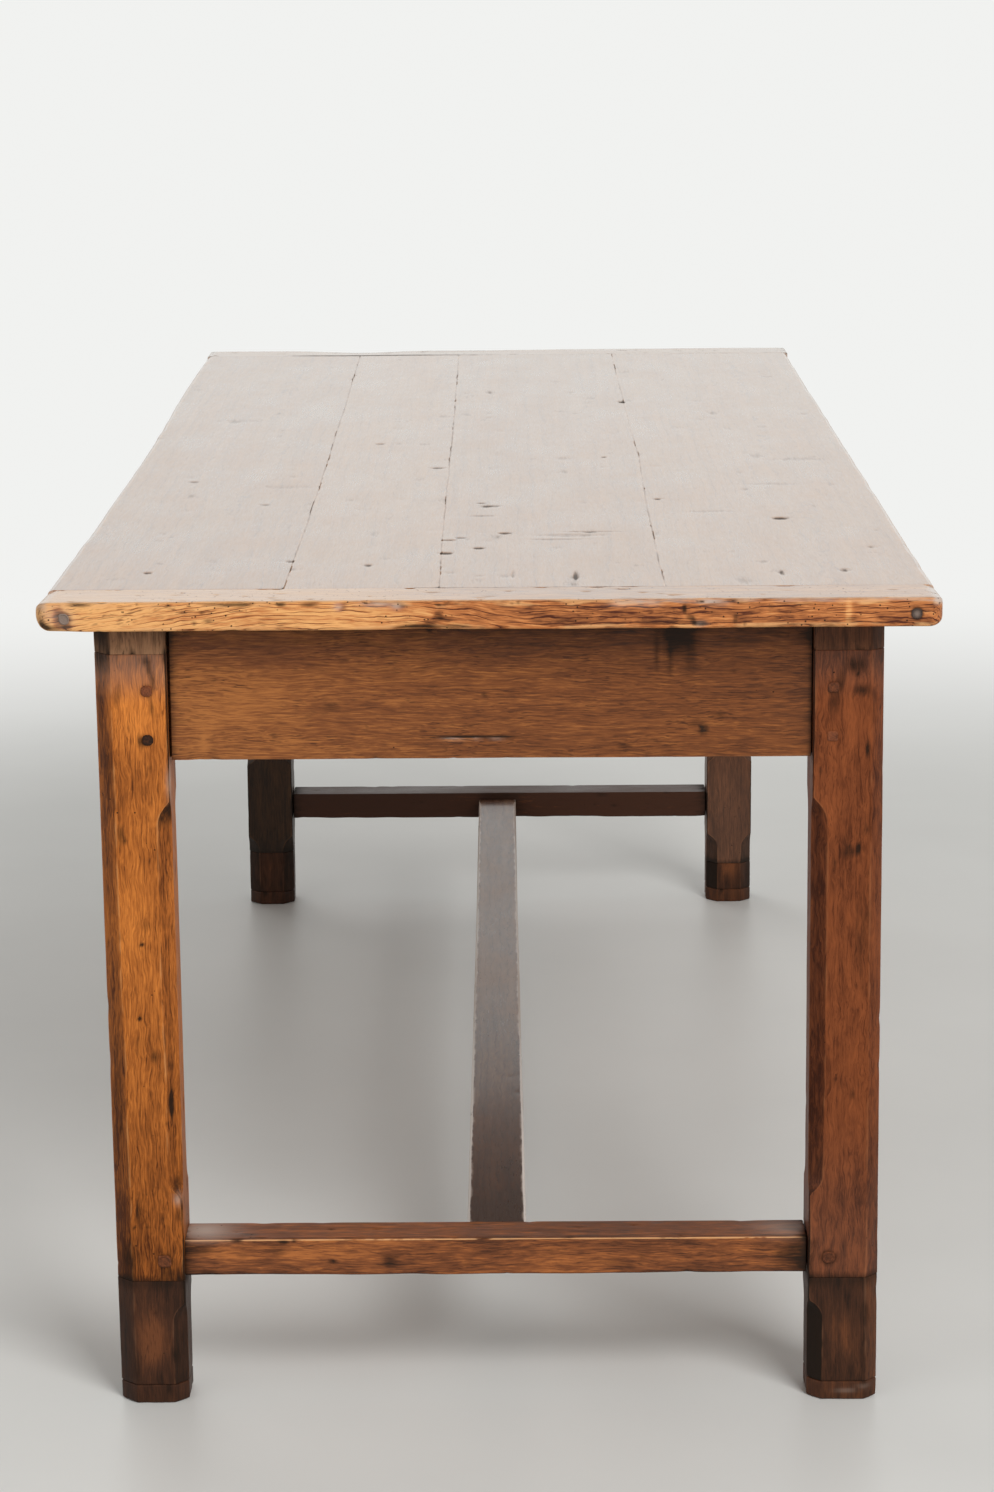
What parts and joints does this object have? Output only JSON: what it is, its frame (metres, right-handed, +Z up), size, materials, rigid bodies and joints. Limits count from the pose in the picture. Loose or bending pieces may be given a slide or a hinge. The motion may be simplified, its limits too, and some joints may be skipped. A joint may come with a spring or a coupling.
{
  "type": "farmhouse table",
  "caption": "Long old wooden table: planked top with cross boards, square chamfered legs with spliced feet, plain aprons and an H stretcher, tenoned and pegged.",
  "frame": {"origin": "on the floor under the middle of the top", "axes": "+X across the table, +Y along it away from the pictured end, +Z up"},
  "size_m": [0.79, 1.93, 0.76],
  "materials": {
    "top_wood": "old waxed planks, satin, worn and dented",
    "cross_board_wood": "old waxed wood, orange brown, worn arrises",
    "leg_wood": "old waxed wood, wavy upright grain",
    "foot_wood": "dark stained wood, scuffed",
    "apron_wood": "old waxed wood, level grain",
    "stretcher_wood": "old waxed wood, polished by feet",
    "peg_wood": "dark end grain",
    "inner_wood": "bare sawn wood",
    "nail_iron": "dull wrought iron"
  },
  "bodies": {
    "root": {"apron_far": "apron_wood", "apron_left": "apron_wood", "apron_near": "apron_wood", "apron_pegs_far_left": "peg_wood", "apron_pegs_far_right": "peg_wood", "apron_pegs_near_left": "peg_wood", "apron_pegs_near_right": "peg_wood", "apron_right": "apron_wood", "centre_stretcher_pegs": "peg_wood", "cross_board_dowels_far": "peg_wood", "cross_board_dowels_near": "peg_wood", "cross_board_far": "cross_board_wood", "cross_board_near": "cross_board_wood", "foot_block_far_left": "foot_wood", "foot_block_far_right": "foot_wood", "foot_block_near_left": "foot_wood", "foot_block_near_right": "foot_wood", "foot_dowels": "inner_wood", "foot_pad_far_left": "foot_wood", "foot_pad_far_right": "foot_wood", "foot_pad_nails": "nail_iron", "foot_pad_near_left": "foot_wood", "foot_pad_near_right": "foot_wood", "glue_blocks_far": "inner_wood", "glue_blocks_left": "inner_wood", "glue_blocks_near": "inner_wood", "glue_blocks_right": "inner_wood", "leg_post_far_left": "leg_wood", "leg_post_far_right": "leg_wood", "leg_post_near_left": "leg_wood", "leg_post_near_right": "leg_wood", "leg_top_block_far_left": "leg_wood", "leg_top_block_far_right": "leg_wood", "leg_top_block_near_left": "leg_wood", "leg_top_block_near_right": "leg_wood", "leg_top_dowels": "inner_wood", "stretcher_centre": "stretcher_wood", "stretcher_far": "stretcher_wood", "stretcher_near": "stretcher_wood", "stretcher_pegs": "peg_wood", "top_plank_centre_left": "top_wood", "top_plank_centre_right": "top_wood", "top_plank_left": "top_wood", "top_plank_right": "top_wood", "top_spline_left": "inner_wood", "top_spline_middle": "inner_wood", "top_spline_right": "inner_wood"}
  },
  "joints": []
}
